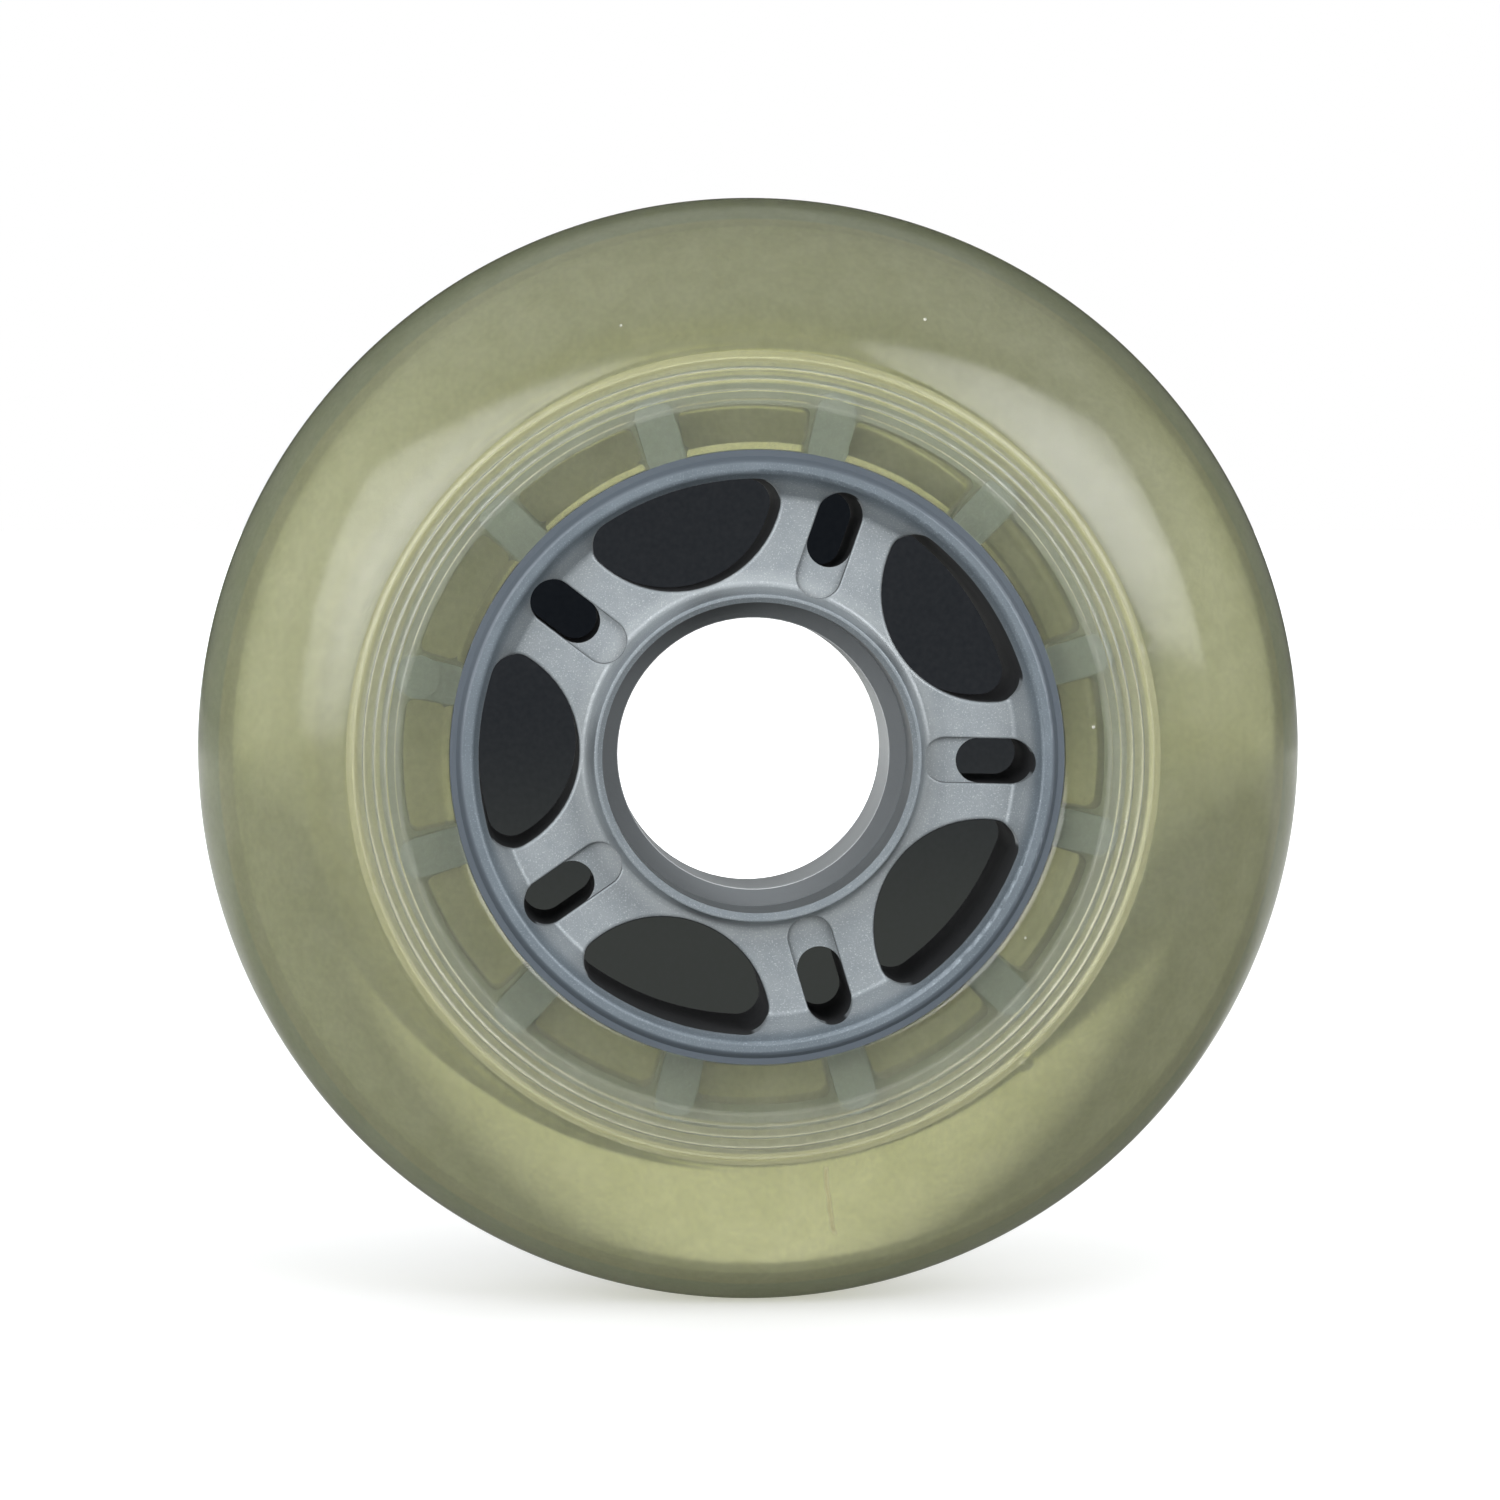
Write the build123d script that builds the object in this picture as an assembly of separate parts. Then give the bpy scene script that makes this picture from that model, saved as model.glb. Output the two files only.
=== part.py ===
from build123d import *
import os
from math import acos, degrees, radians, sin, sqrt

os.makedirs("parts", exist_ok=True)

# Caster wheel: a moulded nylon core with a cast polyurethane tyre locked into its rim.
# Millimetres. The axle runs along Y, +Z is up, and the origin is the centre of the wheel.
# Every section is drawn as radius against height over the mid-plane, turned about the
# local Z axis, and at the end the wheel is laid over so that its front looks along -Y.

# ---- overall ----
wheel_diameter = 80.0
hub_width = 24.0            # over the two bearing mouths
spoke_count = 5
first_spoke_angle = -1.3    # degrees from +X, seen from the front

# ---- bearing housing, for a 22 x 7 mm ball bearing at each end ----
bearing_diameter = 22.0
bearing_width = 7.0
shoulder_bore = 19.5        # the land that the bearings butt against
lip_radius = 11.6           # outside of the housing at its mouth
lip_foot_radius = 12.1      # outside of the housing where it meets the spokes
mouth_chamfer = 0.35

# ---- spokes and collar ----
spoke_face = 8.8            # half of the spoke thickness
cone_foot_radius = 18.6     # where the spoke face turns up into the collar
crown_inner_radius = 20.15
crown_outer_radius = 20.95
band_inner_radius = 21.3
collar_radius = 21.75
band_drop = 0.35            # the outer band lies this far under the crown

# ---- windows between the spokes ----
window_circle_radius = 7.7
window_circle_centre = 20.3
window_outer_radius = 19.7
window_corner = 1.7

# ---- slot along each spoke ----
slot_width = 3.2
slot_outer_radius = 19.75
slot_inner_radius = 14.3
pocket_inner_radius = 11.95
pocket_depth = 0.6

# ---- perforated flange that the tyre is cast around ----
anchor_count = 12
rib_offset = 18.0           # degrees from the first spoke to the first rib
flange_radius = 26.8
flange_half = 3.6
rib_half = 7.2
rib_width = 2.8
rib_root_radius = 20.75     # inside the collar
rib_end_radius = 26.5
anchor_inner_radius = 22.25
anchor_outer_radius = 25.2
anchor_span = 22.6          # degrees
anchor_corner = 0.7

# ---- ejector pad on one rib of the front ----
pad_rib = 5                 # counted from the first rib
pad_centre_radius = 24.6
pad_radius = 1.55
pad_height = 0.25

# ---- tyre ----
side_half = 11.7            # half of the tyre width at its flat side land
land_radius = 28.8
curve_centre_radius = 24.0  # centre of the elliptic tread section
ridge_count = 5
ridge_first_radius = 25.3
ridge_pitch = 0.75
ridge_height = 0.1
ridge_width = 0.3

# ---- softened edges ----
window_edge = 0.3
slot_edge = 0.15
foot_fillet = 0.45
crown_fillet = 0.35
lip_fillet = 0.15
match_tolerance = 0.01      # when edges are picked by radius and height

wheel_radius = wheel_diameter / 2
hub_half = hub_width / 2
seat_radius = bearing_diameter / 2
shoulder_half = hub_half - bearing_width
spoke_pitch = 360 / spoke_count
anchor_pitch = 360 / anchor_count


def turned(half_section):
    """Solid of revolution of a half section and its mirror image under the mid-plane."""
    half = revolve(half_section, Axis.Z, 360)
    return half + mirror(half, Plane.XY)


def section(points):
    """Face in the radius-height plane through a closed run of straight edges."""
    return make_face(Plane.XZ * Polyline(*points, close=True))


def rings(solid, radius, height):
    """The two circular edges with this radius at this height over and under the mid-plane."""
    return [
        edge
        for edge in solid.edges().filter_by(GeomType.CIRCLE)
        if abs(edge.radius - radius) < match_tolerance
        and abs(abs(edge.center().Z) - height) < match_tolerance
    ]


def core_blank():
    """Housing, spoke disc, collar and plain flange before anything is cut out of them."""
    points = [
        (shoulder_bore / 2, 0),
        (shoulder_bore / 2, shoulder_half),
        (seat_radius, shoulder_half),
        (seat_radius, hub_half - mouth_chamfer),
        (seat_radius + mouth_chamfer, hub_half),
        (lip_radius, hub_half),
        (lip_foot_radius, spoke_face),
        (cone_foot_radius, spoke_face),
        (crown_inner_radius, hub_half),
        (crown_outer_radius, hub_half),
        (band_inner_radius, hub_half - band_drop),
        (collar_radius, hub_half - band_drop),
        (collar_radius, flange_half),
        (flange_radius, flange_half),
        (flange_radius, 0),
    ]
    blank = turned(section(points))
    feet = rings(blank, lip_foot_radius, spoke_face) + rings(blank, cone_foot_radius, spoke_face)
    blank = fillet(feet, foot_fillet)
    crown = rings(blank, crown_inner_radius, hub_half) + rings(blank, crown_outer_radius, hub_half)
    blank = fillet(crown, crown_fillet)
    return fillet(rings(blank, lip_radius, hub_half), lip_fillet)


def window_outline():
    """Lens between two spokes: a circle trimmed by the collar, on the +X axis."""
    lens = Pos(window_circle_centre, 0) * Circle(window_circle_radius)
    lens = lens & Circle(window_outer_radius)
    return fillet(lens.vertices(), window_corner)


def slot_outline(inner_radius):
    """Radial slot with round ends on the +X axis."""
    length = slot_outer_radius - inner_radius
    return Pos((slot_outer_radius + inner_radius) / 2, 0) * SlotOverall(length, slot_width)


def anchor_outline():
    """Window through the flange: a piece of a ring with rounded corners, on the +X axis."""
    ring = Circle(anchor_outer_radius) - Circle(anchor_inner_radius)
    reach = anchor_outer_radius * 2
    side = reach * sin(radians(anchor_span / 2))
    wedge = make_face(Polyline((0, 0), (reach, side), (reach, -side), close=True))
    return fillet((ring & wedge).vertices(), anchor_corner)


def rib_outline():
    """Rib across the flange, round at its outer end, on the +X axis."""
    length = rib_end_radius - rib_root_radius
    return Pos((rib_end_radius + rib_root_radius) / 2, 0) * SlotOverall(length, rib_width)


def through(outline):
    """Cutter that goes right through the wheel."""
    return extrude(outline, hub_width, both=True)


def cut_softly(solid, cutter, edge_radius):
    """Cut an opening and round the edges where it breaks out of the faces of the spokes."""
    opened = solid - cutter
    fresh = new_edges(solid, cutter, combined=opened)
    rims = [edge for edge in fresh if abs(edge.center().Z) > spoke_face - match_tolerance]
    return fillet(rims, edge_radius)


def build_core():
    core = core_blank()
    ribs = extrude(rib_outline(), rib_half, both=True)
    for index in range(anchor_count):
        rib_angle = first_spoke_angle + rib_offset + index * anchor_pitch
        core += Rot(0, 0, rib_angle) * ribs
    pad = extrude(Pos(pad_centre_radius, 0) * Circle(pad_radius), rib_half + pad_height)
    core += Rot(0, 0, first_spoke_angle + rib_offset + pad_rib * anchor_pitch) * pad
    anchor_window = through(anchor_outline())
    for index in range(anchor_count):
        anchor_angle = first_spoke_angle + rib_offset + (index + 0.5) * anchor_pitch
        core -= Rot(0, 0, anchor_angle) * anchor_window
    window = through(window_outline())
    slot = through(slot_outline(slot_inner_radius))
    pocket = Pos(0, 0, spoke_face - pocket_depth) * extrude(slot_outline(pocket_inner_radius), hub_half)
    stepped_slot = slot + pocket + mirror(pocket, Plane.XY)
    for index in range(spoke_count):
        spoke_angle = first_spoke_angle + index * spoke_pitch
        core = cut_softly(core, Rot(0, 0, spoke_angle + spoke_pitch / 2) * window, window_edge)
        core = cut_softly(core, Rot(0, 0, spoke_angle) * stepped_slot, slot_edge)
    return core


def build_tyre(core):
    """Cast ring with a flat side land, low turned ridges and an elliptic tread."""
    tread_axis = wheel_radius - curve_centre_radius
    land_share = (land_radius - curve_centre_radius) / tread_axis
    side_axis = side_half / sqrt(1 - land_share ** 2)
    land = [(collar_radius, 0), (collar_radius, side_half)]
    for index in range(ridge_count):
        ridge_radius = ridge_first_radius + index * ridge_pitch
        land.append((ridge_radius - ridge_width / 2, side_half))
        land.append((ridge_radius, side_half + ridge_height))
        land.append((ridge_radius + ridge_width / 2, side_half))
    land.append((land_radius, side_half))
    share_angle = degrees(acos(land_share))
    tread = EllipticalCenterArc((curve_centre_radius, 0), tread_axis, side_axis, arc_size=share_angle)
    base = Line((collar_radius, 0), (wheel_radius, 0))
    outline = make_face(Plane.XZ * (base + tread + Polyline(*land)))
    return turned(outline) - core


lay_over = Rot(90, 0, 0)
core = build_core()
tyre = build_tyre(core)
export_step(lay_over * core, "parts/core.step")
export_step(lay_over * tyre, "parts/tyre.step")
print("core volume", round(core.volume, 1), "tyre volume", round(tyre.volume, 1))
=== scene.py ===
import math

import bmesh
import bpy
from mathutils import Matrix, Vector


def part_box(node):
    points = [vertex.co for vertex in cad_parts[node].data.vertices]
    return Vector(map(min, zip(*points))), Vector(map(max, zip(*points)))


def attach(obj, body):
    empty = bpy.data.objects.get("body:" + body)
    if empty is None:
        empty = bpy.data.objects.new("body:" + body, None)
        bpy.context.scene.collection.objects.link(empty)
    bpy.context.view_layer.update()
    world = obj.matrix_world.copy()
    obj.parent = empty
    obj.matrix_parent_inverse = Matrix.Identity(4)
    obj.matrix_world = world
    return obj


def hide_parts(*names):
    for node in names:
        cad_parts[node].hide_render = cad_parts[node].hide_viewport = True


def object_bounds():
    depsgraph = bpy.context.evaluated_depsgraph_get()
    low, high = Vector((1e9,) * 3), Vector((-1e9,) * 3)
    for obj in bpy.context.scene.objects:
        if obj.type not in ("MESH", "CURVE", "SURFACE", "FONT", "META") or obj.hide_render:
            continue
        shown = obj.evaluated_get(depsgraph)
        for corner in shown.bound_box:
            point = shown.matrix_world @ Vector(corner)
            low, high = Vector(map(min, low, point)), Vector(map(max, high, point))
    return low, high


# A clear polyurethane wheel on a silver nylon core. Metres, in the frame's own axes: the axle runs
# along Y, the front looks along -Y and +Z is up. "Depth" is the distance from the mid-plane.

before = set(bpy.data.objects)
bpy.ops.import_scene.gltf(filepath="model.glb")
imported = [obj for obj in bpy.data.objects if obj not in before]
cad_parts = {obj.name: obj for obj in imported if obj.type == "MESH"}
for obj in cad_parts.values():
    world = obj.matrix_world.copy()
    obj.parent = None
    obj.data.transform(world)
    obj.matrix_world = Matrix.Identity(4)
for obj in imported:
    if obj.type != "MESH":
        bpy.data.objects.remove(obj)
cad_low, cad_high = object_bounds()

MM = 0.001

# ---------------------------------------------------------------- sizes of the whole
tyre_low, tyre_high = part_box("tyre")
wheel_centre = (cad_low + cad_high) / 2
wheel_radius = (tyre_high.z - tyre_low.z) / 2
floor_level = cad_low.z
spoke_count = 5
first_spoke_angle = -1.3                # degrees from +X

# ---------------------------------------------------------------- sizes of the tyre
side_depth = 11.7 * MM                  # of the flat side land
land_radius = 28.8 * MM                 # where the land ends and the tread starts
curve_centre_radius = 24.0 * MM         # centre of the elliptic tread section
# where the tyre beds against the collar: radius and depth, the first two inside the collar
bed_points = [
    (21.35 * MM, 0.0),
    (21.35 * MM, 11.2 * MM),
    (21.62 * MM, 11.42 * MM),
    (21.76 * MM, 11.62 * MM),
    (21.86 * MM, side_depth),
]
plain_land_radii = [22.4 * MM, 23.2 * MM, 24.0 * MM, 24.7 * MM]
first_ridge_radius = 25.3 * MM
ridge_pitch = 0.75 * MM
ridge_heights = [0.03 * MM, 0.05 * MM, 0.07 * MM, 0.085 * MM, 0.075 * MM]
ridge_radii = [first_ridge_radius + ridge_pitch * index for index in range(len(ridge_heights))]
ridge_half = 0.16 * MM                  # half of a ridge's width at its foot
last_ridge_half = 0.32 * MM
ridge_shares = (-1.0, -0.66, -0.33, 0.0, 0.33, 0.66, 1.0)
land_end_gap = 0.06 * MM
tread_steps = 44
turn_steps = 540
# the side was turned slightly off the wheel's own centre
trim_offset = Vector((-0.23 * MM, 0, -0.085 * MM))
trim_window = (23.0 * MM, 25.0 * MM, 29.5 * MM, 33.0 * MM)
# nicks on the front of the tyre: degrees from +X, radius, size and depth
nicks = [
    (-48.5, 28.55 * MM, 0.50 * MM, 0.22 * MM),
    (-66.0, 28.20 * MM, 0.32 * MM, 0.16 * MM),
    (16.3, 28.45 * MM, 0.30 * MM, 0.18 * MM),
    (197.8, 28.50 * MM, 0.38 * MM, 0.18 * MM),
    (174.5, 29.60 * MM, 0.25 * MM, 0.14 * MM),
]
# one hairline crack on the front, and how far it wavers
crack_start = Vector((4.68, 0, -28.9)) * MM
crack_end = Vector((5.57, 0, -34.5)) * MM
crack_waver = 0.6 * MM

# ---------------------------------------------------------------- colours of the core
spray_dark = (0.205, 0.230, 0.245, 1)
spray_light = (0.285, 0.312, 0.330, 1)
streak_tint = (0.80, 0.82, 0.84, 1)
flake_colour = (0.50, 0.53, 0.55, 1)
foot_painted_light = (0.62, 0.65, 0.66, 1)
lip_tint = (0.80, 0.82, 0.84, 1)
crown_tint = (0.52, 0.57, 0.62, 1)
band_colour = (0.075, 0.092, 0.112, 1)
opening_wall_dark = (0.012, 0.013, 0.015, 1)
seat_colour = (0.145, 0.157, 0.165, 1)
shoulder_painted_light = (0.52, 0.54, 0.55, 1)
wetted_tint = (0.64, 0.72, 0.80, 1)
ledge_tint = (0.34, 0.35, 0.30, 1)

# ---------------------------------------------------------------- colours of the resin
resin_dull = (0.92, 0.93, 0.85, 1)
resin_clear = (0.98, 0.985, 0.93, 1)
mottle_tint = (0.84, 0.86, 0.77, 1)
grit_tint = (0.86, 0.86, 0.86, 1)
running_band_tint = (0.84, 0.91, 0.99, 1)
crest_highlight = (0.97, 0.95, 0.80, 1)
rim_highlight = (0.95, 0.935, 0.64, 1)
dust_colour = (0.95, 0.95, 0.92, 1)
crack_colour = (0.50, 0.43, 0.28, 1)
lamp_way_colour = (0.92, 0.92, 0.88, 1)
resin_index = 1.5                       # of refraction
absorption_colour = (0.88, 0.92, 0.10, 1)
absorption_density = 42.0               # per metre
haze_colour = (0.95, 0.98, 0.90, 1)
haze_density = 66.0                     # per metre
haze_anisotropy = -0.5

# ---------------------------------------------------------------- the picture's viewpoint
photo_side = 1500                       # pixels
wheel_side = 1100                       # pixels across the wheel
eye_distance = 0.401
eye_azimuth = math.radians(-2.8)
eye_elevation = math.radians(2.8)
film_width = 36                         # mm, as Blender's sensors are


def make_camera():
    level = math.cos(eye_elevation) * eye_distance
    eye = wheel_centre + Vector((
        math.sin(eye_azimuth) * level,
        -math.cos(eye_azimuth) * level,
        math.sin(eye_elevation) * eye_distance,
    ))
    data = bpy.data.cameras.new("camera")
    camera = bpy.data.objects.new("camera", data)
    bpy.context.scene.collection.objects.link(camera)
    camera.location = eye
    camera.rotation_euler = (wheel_centre - eye).to_track_quat("-Z", "Y").to_euler()
    half_view = wheel_radius * photo_side / wheel_side
    data.sensor_width = film_width
    data.lens = film_width / 2 * eye_distance / half_view
    data.clip_start = 0.01
    bpy.context.scene.camera = camera


# ---------------------------------------------------------------- node helpers
def new_material(name):
    material = bpy.data.materials.new(name)
    material.use_nodes = True
    tree = material.node_tree
    tree.nodes.clear()
    output = tree.nodes.new("ShaderNodeOutputMaterial")
    shader = tree.nodes.new("ShaderNodeBsdfPrincipled")
    tree.links.new(shader.outputs["BSDF"], output.inputs["Surface"])
    return material, tree, shader, output


def node(tree, kind, inputs=None, **settings):
    """New node with these settings; each input takes a value, or a link if it is given a socket."""
    made = tree.nodes.new(kind)
    for key, value in settings.items():
        setattr(made, key, value)
    for key, value in (inputs or {}).items():
        if isinstance(value, bpy.types.NodeSocket):
            tree.links.new(value, made.inputs[key])
        else:
            made.inputs[key].default_value = value
    return made


def maths(tree, operation, first, second=0.0, clamp=False):
    made = node(tree, "ShaderNodeMath", {0: first, 1: second}, operation=operation, use_clamp=clamp)
    return made.outputs[0]


def vector_maths(tree, operation, first, second, output="Vector"):
    made = node(tree, "ShaderNodeVectorMath", {0: first, 1: second}, operation=operation)
    return made.outputs[output]


def times(tree, first, second):
    return maths(tree, "MULTIPLY", first, second)


def plus(tree, first, second):
    return maths(tree, "ADD", first, second)


def minus(tree, first, second):
    return maths(tree, "SUBTRACT", first, second)


def size_of(tree, value):
    return maths(tree, "ABSOLUTE", value)


def smooth_ramp(tree, value, low, high, start, end):
    made = node(
        tree, "ShaderNodeMapRange",
        {"Value": value, "From Min": low, "From Max": high, "To Min": start, "To Max": end},
        interpolation_type="SMOOTHSTEP",
    )
    return made.outputs["Result"]


def ramp_up(tree, value, low, high):
    """0 below low, 1 above high, smooth in between."""
    return smooth_ramp(tree, value, low, high, 0.0, 1.0)


def ramp_down(tree, value, low, high):
    """1 below low, 0 above high, smooth in between."""
    return smooth_ramp(tree, value, low, high, 1.0, 0.0)


def past(tree, value, low, high):
    """Like ramp_up, with its limits in millimetres."""
    return ramp_up(tree, value, low * MM, high * MM)


def short_of(tree, value, low, high):
    """Like ramp_down, with its limits in millimetres."""
    return ramp_down(tree, value, low * MM, high * MM)


def straight_ramp(tree, value, low, high, start, end):
    made = node(
        tree, "ShaderNodeMapRange",
        {"Value": value, "From Min": low, "From Max": high, "To Min": start, "To Max": end},
    )
    return made.outputs["Result"]


def noise(tree, place, scale, detail, roughness=0.5):
    made = node(
        tree, "ShaderNodeTexNoise",
        {"Vector": place, "Scale": scale, "Detail": detail, "Roughness": roughness},
    )
    return made.outputs["Fac"]


def mix_colour(tree, factor, first, second, blend="MIX"):
    made = tree.nodes.new("ShaderNodeMix")
    made.data_type = "RGBA"
    made.blend_type = blend
    for socket, value in ((made.inputs[0], factor), (made.inputs[6], first), (made.inputs[7], second)):
        if isinstance(value, bpy.types.NodeSocket):
            tree.links.new(value, socket)
        else:
            socket.default_value = value
    return made.outputs[2]


def darken(tree, factor, colour, tint):
    return mix_colour(tree, factor, colour, tint, "MULTIPLY")


def add_grain(tree, shader, place, scale, detail, strength):
    """Fine bump over the whole surface."""
    grain = noise(tree, place, scale, detail)
    bump = node(
        tree, "ShaderNodeBump",
        {"Height": grain, "Strength": strength, "Distance": 0.05 * MM},
    )
    tree.links.new(bump.outputs["Normal"], shader.inputs["Normal"])


def object_place(tree):
    return node(tree, "ShaderNodeTexCoord").outputs["Object"]


def components(tree, vector):
    return node(tree, "ShaderNodeSeparateXYZ", {"Vector": vector}).outputs


def wheel_coordinates(tree):
    """Position, distance from the axle and distance from the mid-plane."""
    place = object_place(tree)
    x, y, z = components(tree, place)
    radius = maths(tree, "SQRT", plus(tree, times(tree, x, x), times(tree, z, z)))
    return place, radius, size_of(tree, y)


# ---------------------------------------------------------------- silver core
def sprayed_colour(tree, place, clouds):
    """Cloudy silver with darker flow streaks and bright flakes."""
    colour = mix_colour(tree, clouds, spray_dark, spray_light)
    streaks = ramp_up(tree, noise(tree, place, 700.0, 5.0, 0.7), 0.35, 0.7)
    colour = darken(tree, times(tree, streaks, 0.5), colour, streak_tint)
    flakes = ramp_up(tree, noise(tree, place, 9000.0, 2.0), 0.56, 0.70)
    return mix_colour(tree, times(tree, flakes, 0.5), colour, flake_colour)


def zone_tones_and_painted_light(tree, colour, radius, depth):
    """Painted light in a paler ring round the housing's foot, where its lip would shade the spokes; the spray
    thinned on its mouth and on the collar.
    """
    # painted light: a paler ring round the housing's foot, lifting the shade of its lip
    foot = times(tree, past(tree, radius, 11.9, 12.15), short_of(tree, radius, 12.6, 13.6))
    colour = mix_colour(tree, times(tree, foot, 0.16), colour, foot_painted_light)
    lip = times(tree, short_of(tree, radius, 11.7, 11.95), past(tree, depth, 9.6, 10.8))
    colour = darken(tree, lip, colour, lip_tint)
    crown = times(tree, past(tree, radius, 19.2, 20.0), past(tree, depth, 9.6, 11.2))
    colour = darken(tree, crown, colour, crown_tint)
    # the turned outer band of the collar shows the darker resin
    band = times(tree, past(tree, radius, 20.75, 20.95), past(tree, depth, 11.0, 11.3))
    return mix_colour(tree, band, colour, band_colour)


def dark_opening_walls(tree, radius, depth):
    """1 on the walls of the windows and slots, which are made near-black."""
    normal = node(tree, "ShaderNodeTexCoord").outputs["Normal"]
    lean = size_of(tree, components(tree, normal)[1])
    inner_wall = times(tree, ramp_down(tree, lean, 0.55, 0.97), short_of(tree, depth, 8.62, 8.8))
    rim_wall = times(tree, ramp_down(tree, lean, 0.10, 0.30), past(tree, radius, 19.50, 19.64))
    rim_wall = times(tree, rim_wall, short_of(tree, depth, 11.0, 11.3))
    openings = times(tree, past(tree, radius, 11.4, 11.6), short_of(tree, radius, 21.2, 21.6))
    return times(tree, maths(tree, "MAXIMUM", inner_wall, rim_wall), openings)


def bearing_seat_colour(tree, colour, radius, depth):
    """A thin coat in the seats; painted light on the hole through the shoulder, pale so that it reads bright.
    """
    seat = times(tree, short_of(tree, radius, 11.05, 11.25), short_of(tree, depth, 10.9, 11.6))
    colour = mix_colour(tree, seat, colour, seat_colour)
    # painted light: the hole through the shoulder is made pale so it reads bright
    shoulder = short_of(tree, radius, 9.78, 9.82)
    return mix_colour(tree, shoulder, colour, shoulder_painted_light)


def cast_in_colour(tree, colour, radius, depth):
    """Under the tyre the finish is wetted by the resin; the ledge next to the collar lies in shade."""
    cast_in = past(tree, radius, 21.72, 21.80)
    colour = darken(tree, cast_in, colour, wetted_tint)
    ledge = times(tree, short_of(tree, radius, 22.25, 22.45), short_of(tree, depth, 3.7, 4.0))
    return darken(tree, times(tree, ledge, cast_in), colour, ledge_tint)


def silver_core_material():
    """Nylon with a sprayed silver finish, near-black deep in the openings."""
    material, tree, shader, _ = new_material("silver_core")
    place, radius, depth = wheel_coordinates(tree)
    clouds = noise(tree, place, 160.0, 4.0)
    walls = dark_opening_walls(tree, radius, depth)
    colour = sprayed_colour(tree, place, clouds)
    colour = zone_tones_and_painted_light(tree, colour, radius, depth)
    colour = mix_colour(tree, walls, colour, opening_wall_dark)
    colour = bearing_seat_colour(tree, colour, radius, depth)
    colour = cast_in_colour(tree, colour, radius, depth)
    tree.links.new(colour, shader.inputs["Base Color"])
    metallic = times(tree, minus(tree, 1.0, walls), 0.25)
    tree.links.new(metallic, shader.inputs["Metallic"])
    sheen = straight_ramp(tree, clouds, 0.3, 0.7, 0.36, 0.5)
    roughness = plus(tree, sheen, times(tree, walls, 0.35))
    tree.links.new(roughness, shader.inputs["Roughness"])
    add_grain(tree, shader, place, 3200.0, 4.0, 0.35)
    return material


# ---------------------------------------------------------------- clear resin
def trimmed_radius(tree, place):
    """Distance from the axis that the side was turned about, a little off the wheel's own."""
    moved = vector_maths(tree, "SUBTRACT", place, trim_offset)
    flat = vector_maths(tree, "MULTIPLY", moved, (1.0, 0.0, 1.0))
    return node(tree, "ShaderNodeVectorMath", {0: flat}, operation="LENGTH").outputs["Value"]


def hairline(tree, place):
    """1 along a thin wavering crack on the front, from near the land out across the tread."""
    along = (crack_end - crack_start).normalized()
    across = Vector((-along.z, 0, along.x))
    length = (crack_end - crack_start).length
    from_start = vector_maths(tree, "SUBTRACT", place, crack_start)
    run = vector_maths(tree, "DOT_PRODUCT", from_start, along, "Value")
    aside = vector_maths(tree, "DOT_PRODUCT", from_start, across, "Value")
    waver = minus(tree, noise(tree, place, 500.0, 2.0), 0.5)
    aside = plus(tree, aside, times(tree, waver, crack_waver))
    thin = short_of(tree, size_of(tree, aside), 0.06, 0.22)
    fade_in = past(tree, run, 0.0, 0.5)
    fade_out = ramp_down(tree, run, length - 0.8 * MM, length)
    front = short_of(tree, components(tree, place)[1], -1.0, 0.0)
    return times(tree, times(tree, thin, times(tree, fade_in, fade_out)), front)


def dust_specks(tree, place):
    """1 on a few small specks caught in the skin."""
    cells = node(tree, "ShaderNodeTexVoronoi", {"Vector": place, "Scale": 420.0})
    pick = node(tree, "ShaderNodeSeparateColor", {0: cells.outputs["Color"]}).outputs[0]
    chosen = ramp_up(tree, pick, 0.93, 0.94)
    return times(tree, chosen, ramp_down(tree, cells.outputs["Distance"], 0.035, 0.07))


def turned_side(tree, turned_at, depth):
    """Masks of the zone that the turning tool left, of the crests of its ridges and of its rim."""
    within = times(tree, past(tree, turned_at, 24.9, 25.1), short_of(tree, turned_at, 28.75, 28.85))
    zone = times(tree, within, past(tree, depth, 11.2, 11.5))
    from_first = minus(tree, turned_at, first_ridge_radius - ridge_pitch / 2)
    turn_count = maths(tree, "DIVIDE", from_first, ridge_pitch)
    off_crest = size_of(tree, minus(tree, maths(tree, "FRACT", turn_count), 0.5))
    crest = times(tree, ramp_down(tree, off_crest, 0.03, 0.14), zone)
    crest = times(tree, crest, past(tree, turned_at, 24.2, 27.4))
    rim = times(tree, past(tree, turned_at, 27.9, 28.1), zone)
    return zone, crest, rim


def resin_tint(tree, place, depth, clouds, crest, rim, dust, crack):
    """Colour of the skin: cloudy and gritty, greyer on the running band of the tread, with painted highlights
    on the ridge crests and the rim of the turned zone.
    """
    tint = mix_colour(tree, clouds, resin_dull, resin_clear)
    mottle = ramp_up(tree, noise(tree, place, 260.0, 5.0, 0.7), 0.3, 0.7)
    tint = darken(tree, times(tree, mottle, 0.65), tint, mottle_tint)
    grit = ramp_up(tree, noise(tree, place, 2300.0, 2.0), 0.35, 0.65)
    tint = darken(tree, times(tree, grit, 0.4), tint, grit_tint)
    tint = darken(tree, short_of(tree, depth, 5.45, 5.75), tint, running_band_tint)
    # painted highlights: pale lines on the ridge crests and on the rim of the turned zone
    tint = mix_colour(tree, crest, tint, crest_highlight)
    tint = mix_colour(tree, rim, tint, rim_highlight)
    tint = mix_colour(tree, dust, tint, dust_colour)
    return mix_colour(tree, times(tree, crack, 0.75), tint, crack_colour)


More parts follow.
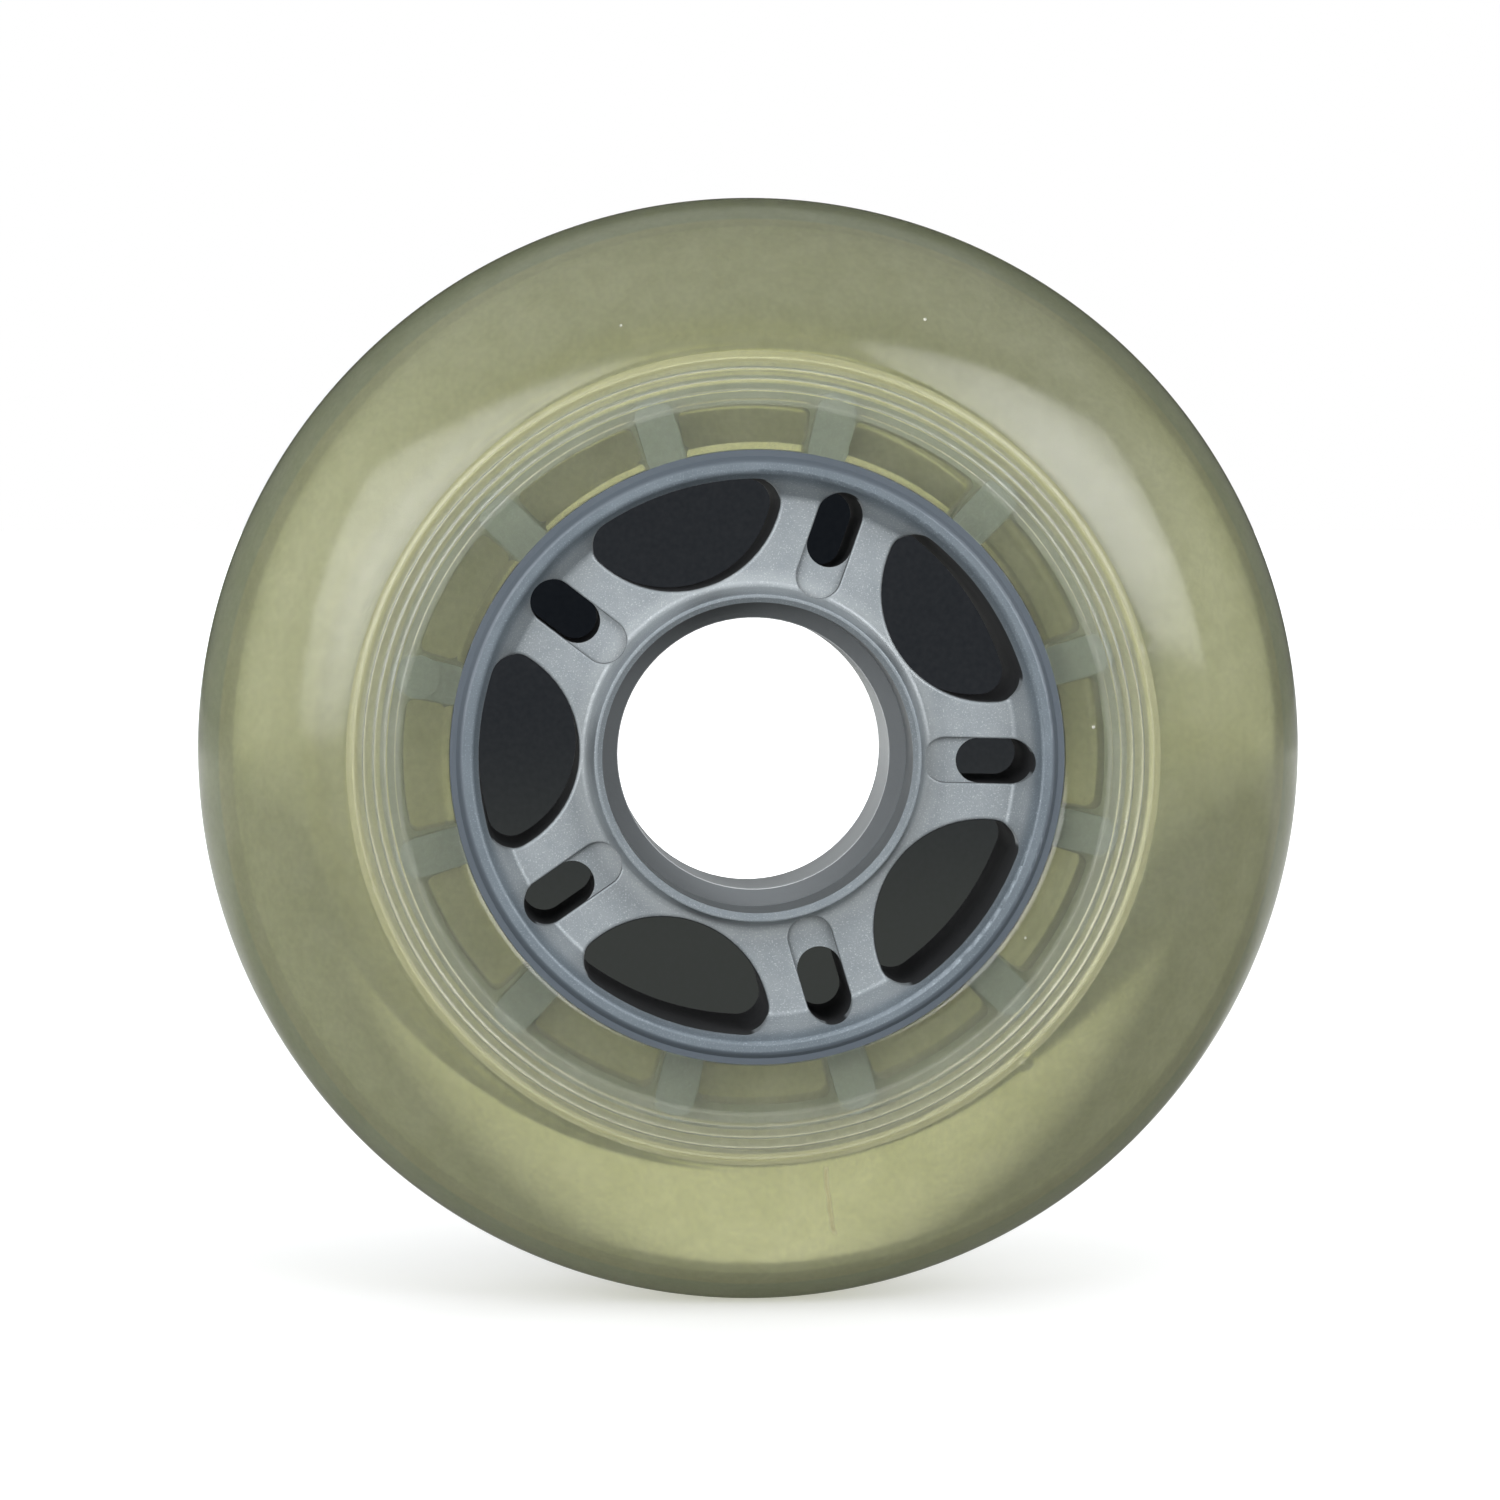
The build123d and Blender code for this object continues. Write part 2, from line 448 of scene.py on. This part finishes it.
def resin_clarity(tree, zone, crest, rim, dust, crack):
    """Share of the light that the skin lets in: a little less where it is turned, dusty or cracked, and less
    on the ridge crests and the rim, which shows their painted highlights.
    """
    on_crest = plus(tree, times(tree, crest, 0.11), times(tree, rim, 0.05))
    frosted = plus(tree, times(tree, zone, 0.05), on_crest)
    frosted = maths(tree, "ADD", frosted, times(tree, dust, 0.3), clamp=True)
    frosted = maths(tree, "MAXIMUM", frosted, times(tree, crack, 0.15))
    return minus(tree, 1.0, frosted)


def fill_with_haze(tree, output):
    """Absorbing and scattering inside."""
    absorb = node(
        tree, "ShaderNodeVolumeAbsorption",
        {"Color": absorption_colour, "Density": absorption_density},
    )
    haze = node(
        tree, "ShaderNodeVolumeScatter",
        {"Color": haze_colour, "Density": haze_density, "Anisotropy": haze_anisotropy},
    )
    inside = node(tree, "ShaderNodeAddShader", {0: absorb.outputs[0], 1: haze.outputs[0]})
    tree.links.new(inside.outputs[0], output.inputs["Volume"])


def polyurethane_material():
    """Hazy yellowish cast resin: a clear skin over a scattering, absorbing inside."""
    material, tree, shader, output = new_material("clear_polyurethane")
    place, _, depth = wheel_coordinates(tree)
    clouds = noise(tree, place, 70.0, 3.0)
    turned_at = trimmed_radius(tree, place)
    zone, crest, rim = turned_side(tree, turned_at, depth)
    dust = dust_specks(tree, place)
    crack = hairline(tree, place)
    tint = resin_tint(tree, place, depth, clouds, crest, rim, dust, crack)
    tree.links.new(tint, shader.inputs["Base Color"])
    clarity = resin_clarity(tree, zone, crest, rim, dust, crack)
    tree.links.new(clarity, shader.inputs["Transmission Weight"])
    as_cast = straight_ramp(tree, clouds, 0.3, 0.7, 0.06, 0.12)
    scuffed = times(tree, past(tree, turned_at, 28.8, 29.4), 0.03)
    roughness = plus(tree, plus(tree, as_cast, times(tree, zone, 0.12)), scuffed)
    tree.links.new(roughness, shader.inputs["Roughness"])
    shader.inputs["IOR"].default_value = resin_index
    add_grain(tree, shader, place, 1500.0, 3.0, 0.06)
    # lamps reach the haze and the flange inside
    lamp_way = node(tree, "ShaderNodeBsdfTransparent", {"Color": lamp_way_colour})
    path = node(tree, "ShaderNodeLightPath")
    surface = node(
        tree, "ShaderNodeMixShader",
        {0: path.outputs["Is Shadow Ray"], 1: shader.outputs[0], 2: lamp_way.outputs[0]},
    )
    tree.links.new(surface.outputs[0], output.inputs["Surface"])
    fill_with_haze(tree, output)
    return material


# ---------------------------------------------------------------- tyre
def ridge_points(ridge, half, height):
    """Rounded ridge that stands on the side land."""
    points = []
    for share in ridge_shares:
        lift = height * (0.5 + 0.5 * math.cos(math.pi * share))
        points.append((ridge + half * share, side_depth + lift))
    return points


def tread_points():
    """Elliptic curve from the end of the land to the middle of the tread."""
    tread_axis = wheel_radius - curve_centre_radius
    land_angle = math.acos((land_radius - curve_centre_radius) / tread_axis)
    side_axis = side_depth / math.sin(land_angle)
    points = []
    for index in range(tread_steps + 1):
        angle = land_angle * (1 - index / tread_steps)
        radius = curve_centre_radius + tread_axis * math.cos(angle)
        points.append((radius, side_axis * math.sin(angle)))
    return points


def tyre_half_section():
    """Radius and depth, from the collar out to the middle of the tread."""
    section = list(bed_points)
    for radius in plain_land_radii:
        section.append((radius, side_depth))
    for ridge, height in zip(ridge_radii, ridge_heights):
        half = last_ridge_half if ridge == ridge_radii[-1] else ridge_half
        section.extend(ridge_points(ridge, half, height))
    section.append((land_radius - land_end_gap, side_depth))
    section.extend(tread_points())
    return section


def smooth_window(value, rise_start, rise_end, fall_start, fall_end):
    """0 outside, 1 between rise_end and fall_start, smooth in between."""
    rise = min(max((value - rise_start) / (rise_end - rise_start), 0), 1)
    fall = min(max((fall_end - value) / (fall_end - fall_start), 0), 1)
    share = min(rise, fall)
    return share * share * (3 - 2 * share)


def nick_depth(point):
    """How far the nicks push this point of the front in."""
    depth = 0.0
    for turn, radius, size, most in nicks:
        angle = math.radians(turn)
        away = math.hypot(point.x - radius * math.cos(angle), point.z - radius * math.sin(angle))
        if away < size:
            depth += most * (1 - (away / size) ** 2) ** 2
    return depth


def tyre_point(radius, y, angle):
    """Point of the section turned by angle, with the side's offset and the nicks."""
    point = Vector((radius * math.cos(angle), y, radius * math.sin(angle)))
    point += trim_offset * smooth_window(radius, *trim_window)
    if y < 0:
        point.y += nick_depth(point)
    return point


def join_rings(work, rings):
    """Faces between neighbouring rings of vertices, round the axle and round the section."""
    count = len(rings[0])
    for step, here in enumerate(rings):
        there = rings[(step + 1) % len(rings)]
        for index in range(count):
            follow = (index + 1) % count
            work.faces.new((here[index], there[index], there[follow], here[follow]))


def add_object(name, work):
    """Object of this name from a bmesh, linked to the scene."""
    mesh = bpy.data.meshes.new(name)
    work.to_mesh(mesh)
    work.free()
    made = bpy.data.objects.new(name, mesh)
    bpy.context.scene.collection.objects.link(made)
    return made


def make_tyre(material):
    half = tyre_half_section()
    front = [(radius, -depth) for radius, depth in half]
    back = [(radius, depth) for radius, depth in reversed(half[1:-1])]
    loop = front + back
    work = bmesh.new()
    rings = []
    for step in range(turn_steps):
        angle = 2 * math.pi * step / turn_steps
        rings.append([work.verts.new(tyre_point(radius, y, angle)) for radius, y in loop])
    join_rings(work, rings)
    bmesh.ops.recalc_face_normals(work, faces=work.faces)
    for face in work.faces:
        face.smooth = True
    tyre = add_object("tyre_cast", work)
    tyre.data.materials.append(material)
    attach(tyre, "root")
    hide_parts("tyre")


# ---------------------------------------------------------------- stage
def towards(azimuth, elevation):
    """Direction from the wheel: azimuth from the front towards +X, both in degrees."""
    turn = math.radians(azimuth)
    lift = math.radians(elevation)
    return Vector((
        math.sin(turn) * math.cos(lift),
        -math.cos(turn) * math.cos(lift),
        math.sin(lift),
    ))


def across_at(distance, degrees):
    """Length that takes up this angle, seen from this distance."""
    return 2 * distance * math.tan(math.radians(degrees / 2))


def fade_softbox(data, edge, level):
    """Dim a panel from its middle to this share at its rim; level under 1 keeps its height even."""
    data.use_nodes = True
    tree = data.node_tree
    tree.nodes.clear()
    place = node(tree, "ShaderNodeNewGeometry").outputs["Parametric"]
    offset = vector_maths(tree, "SUBTRACT", place, (0.5, 0.5, 0.0))
    scaled = vector_maths(tree, "MULTIPLY", offset, (1.0, level, 0.0))
    middle = node(tree, "ShaderNodeVectorMath", {0: scaled}, operation="LENGTH").outputs["Value"]
    fade = smooth_ramp(tree, middle, 0.05, 0.6, 1.0, edge)
    glow = node(tree, "ShaderNodeEmission", {"Color": (1, 1, 1, 1), "Strength": fade})
    output = tree.nodes.new("ShaderNodeOutputLight")
    tree.links.new(glow.outputs[0], output.inputs["Surface"])


def add_softbox(name, azimuth, elevation, distance, width, height, brightness, edge, level=1.0):
    """Panel that faces the wheel: width and height in degrees, brightness as its middle's radiance."""
    data = bpy.data.lights.new(name, "AREA")
    data.shape = "RECTANGLE"
    data.size = across_at(distance, width)
    data.size_y = across_at(distance, height)
    data.energy = brightness * math.pi * data.size * data.size_y
    fade_softbox(data, edge, level)
    light = bpy.data.objects.new(name, data)
    light.visible_camera = False
    bpy.context.scene.collection.objects.link(light)
    light.location = wheel_centre + towards(azimuth, elevation) * distance
    light.rotation_euler = (wheel_centre - light.location).to_track_quat("-Z", "Y").to_euler()
    return light


def hide_from_surfaces(light):
    """Leave a lamp to light the haze and the solids only, with no mirror image in the skin."""
    light.visible_glossy = False
    light.visible_transmission = False
    light.data.cycles.use_multiple_importance_sampling = False


def add_lamps():
    add_softbox("softbox_left", -33.5, 17, 0.6, width=44, height=35, brightness=6.2, edge=0.5)
    add_softbox("softbox_right", 38, 22.5, 0.6, width=39, height=32, brightness=7.2, edge=0.45)
    add_softbox("wing_left", -72, 20, 0.6, width=34, height=50, brightness=0.8, edge=0.2)
    add_softbox("wing_right", 74, 28, 0.6, width=34, height=50, brightness=0.8, edge=0.2)
    # seen through the resin, but not mirrored on its top edge
    panel = add_softbox(
        "panel_behind", 177.5, 22, 0.8, width=34, height=36, brightness=1.4, edge=0.0, level=0.15,
    )
    panel.visible_glossy = False
    for name, azimuth, elevation, brightness in (
        ("fill", -20, 3, 19.0),
        ("fill_rear_left", -135, 15, 12.0),
        ("fill_rear_right", 130, 15, 12.0),
    ):
        fill = add_softbox(
            name, azimuth, elevation, 0.9, width=16, height=12, brightness=brightness, edge=0.6,
        )
        hide_from_surfaces(fill)


def show_to_camera(tree, output, hidden, seen):
    """Show one shader to the camera and the other one to every other ray."""
    path = node(tree, "ShaderNodeLightPath")
    mixed = node(tree, "ShaderNodeMixShader", {0: path.outputs["Is Camera Ray"], 1: hidden, 2: seen})
    tree.links.new(mixed.outputs[0], output.inputs["Surface"])


def make_world():
    """White ground for the camera; a soft sky, brighter in front, overhead and at the sides, for the rest."""
    world = bpy.data.worlds.new("studio")
    bpy.context.scene.world = world
    world.use_nodes = True
    tree = world.node_tree
    tree.nodes.clear()
    output = tree.nodes.new("ShaderNodeOutputWorld")
    white = node(tree, "ShaderNodeBackground", {"Color": (1, 1, 1, 1), "Strength": 1.0})
    direction = node(tree, "ShaderNodeTexCoord").outputs["Generated"]
    side, back, up = components(tree, direction)
    front = times(tree, ramp_up(tree, times(tree, back, -1.0), -0.3, 0.8), 0.30)
    ceiling = times(tree, ramp_up(tree, up, 0.6, 0.85), 0.6)
    sides = times(tree, ramp_up(tree, size_of(tree, side), 0.2, 0.7), 0.22)
    strength = plus(tree, plus(tree, front, ceiling), plus(tree, sides, 0.06))
    sky = node(tree, "ShaderNodeBackground", {"Color": (0.95, 0.98, 1.0, 1), "Strength": strength})
    show_to_camera(tree, output, sky.outputs[0], white.outputs[0])


def make_floor():
    """Pale floor: near white to the camera with a soft shadow, darker to reflected and refracted rays. To the
    camera it glows, least near the wheel, so the lamps' shadow shows there; to other rays it is dark ground
    with painted shade straight behind the wheel and painted light behind it to either side.
    """
    half_size = 6.0
    work = bmesh.new()
    bmesh.ops.create_grid(work, x_segments=8, y_segments=8, size=half_size)
    for vertex in work.verts:
        vertex.co.z = floor_level
    floor = add_object("floor", work)
    material, tree, shader, output = new_material("floor_paint")
    place = object_place(tree)
    x, y, _ = components(tree, place)
    # dark ground to reflected and refracted rays, left as painted shade in a strip straight behind the wheel
    dark_ground_and_shade = mix_colour(tree, noise(tree, place, 30.0, 3.0), (0.20, 0.20, 0.19, 1), (0.25, 0.25, 0.24, 1))
    clear_of_shade = times(tree, ramp_up(tree, size_of(tree, x), 0.012, 0.06), ramp_up(tree, y, 0.02, 0.08))
    # painted light: paler ground behind the wheel to either side, where the lamps would light it
    paint = mix_colour(tree, clear_of_shade, dark_ground_and_shade, (0.80, 0.80, 0.77, 1))
    tree.links.new(paint, shader.inputs["Base Color"])
    shader.inputs["Roughness"].default_value = 0.8
    away = node(tree, "ShaderNodeVectorMath", {0: place}, operation="LENGTH").outputs["Value"]
    # the floor glows to the camera, least near the wheel, so the lamps' shadow shows there
    glow = plus(tree, 0.14, times(tree, ramp_up(tree, away, 0.0, 0.20), 0.90))
    seen = node(
        tree, "ShaderNodeBsdfPrincipled",
        {
            "Base Color": (0.8, 0.8, 0.8, 1),
            "Roughness": 0.8,
            "Emission Color": (1, 1, 1, 1),
            "Emission Strength": glow,
        },
    )
    show_to_camera(tree, output, shader.outputs[0], seen.outputs[0])
    floor.data.materials.append(material)


def window_card_shade(tree):
    """Painted shade of the dark ground, with a faint weave: painted light makes it lighter low down, and
    painted shade makes it darker still in the narrow upper slots.
    """
    place = object_place(tree)
    x, _, z = components(tree, place)
    low = past(tree, times(tree, z, -1.0), -4.0, 15.0)
    shade = mix_colour(tree, low, (0.0165, 0.0190, 0.0225, 1), (0.040, 0.044, 0.040, 1))
    weave = noise(tree, place, 2400.0, 2.0)
    shade = mix_colour(tree, times(tree, weave, 0.35), shade, (0.05, 0.052, 0.055, 1))
    turn = minus(tree, maths(tree, "ARCTAN2", z, x), math.radians(first_spoke_angle))
    spoke_wave = maths(tree, "COSINE", times(tree, turn, float(spoke_count)))
    in_slot = times(tree, ramp_up(tree, spoke_wave, 0.6, 0.8), past(tree, z, 2.0, 8.0))
    return darken(tree, in_slot, shade, (0.35, 0.38, 0.42, 1))


def make_painted_shade_card():
    """Dark glowing card across the windows and slots: painted shade, standing in for the dark ground behind
    the wheel and the shade on it.

    Light passes through it. Between the openings it lies inside the spokes, housing and collar.
    """
    inner_radius = 11.6 * MM
    outer_radius = 20.5 * MM
    y = 4.5 * MM
    steps = 120
    work = bmesh.new()
    rows = []
    for step in range(steps):
        angle = 2 * math.pi * step / steps
        outwards = Vector((math.cos(angle), 0, math.sin(angle)))
        middle = wheel_centre + Vector((0, y, 0))
        rows.append([work.verts.new(middle + outwards * radius) for radius in (inner_radius, outer_radius)])
    for step, here in enumerate(rows):
        there = rows[(step + 1) % steps]
        work.faces.new((here[0], here[1], there[1], there[0]))
    card = add_object("window_card", work)
    material, tree, _, output = new_material("window_card_painted_shade")
    # painted shade: the card glows dark to the camera
    dark_ground_and_shade = node(tree, "ShaderNodeEmission", {"Color": window_card_shade(tree), "Strength": 1.0})
    clear_way = node(tree, "ShaderNodeBsdfTransparent")
    show_to_camera(tree, output, clear_way.outputs[0], dark_ground_and_shade.outputs[0])
    card.data.materials.append(material)


def paint_core():
    silver = silver_core_material()
    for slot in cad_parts["core"].material_slots:
        slot.material = silver


# ---------------------------------------------------------------- build the scene
bpy.context.scene.view_settings.view_transform = "Standard"
make_camera()
paint_core()
make_tyre(polyurethane_material())
make_world()
make_floor()
make_painted_shade_card()
add_lamps()
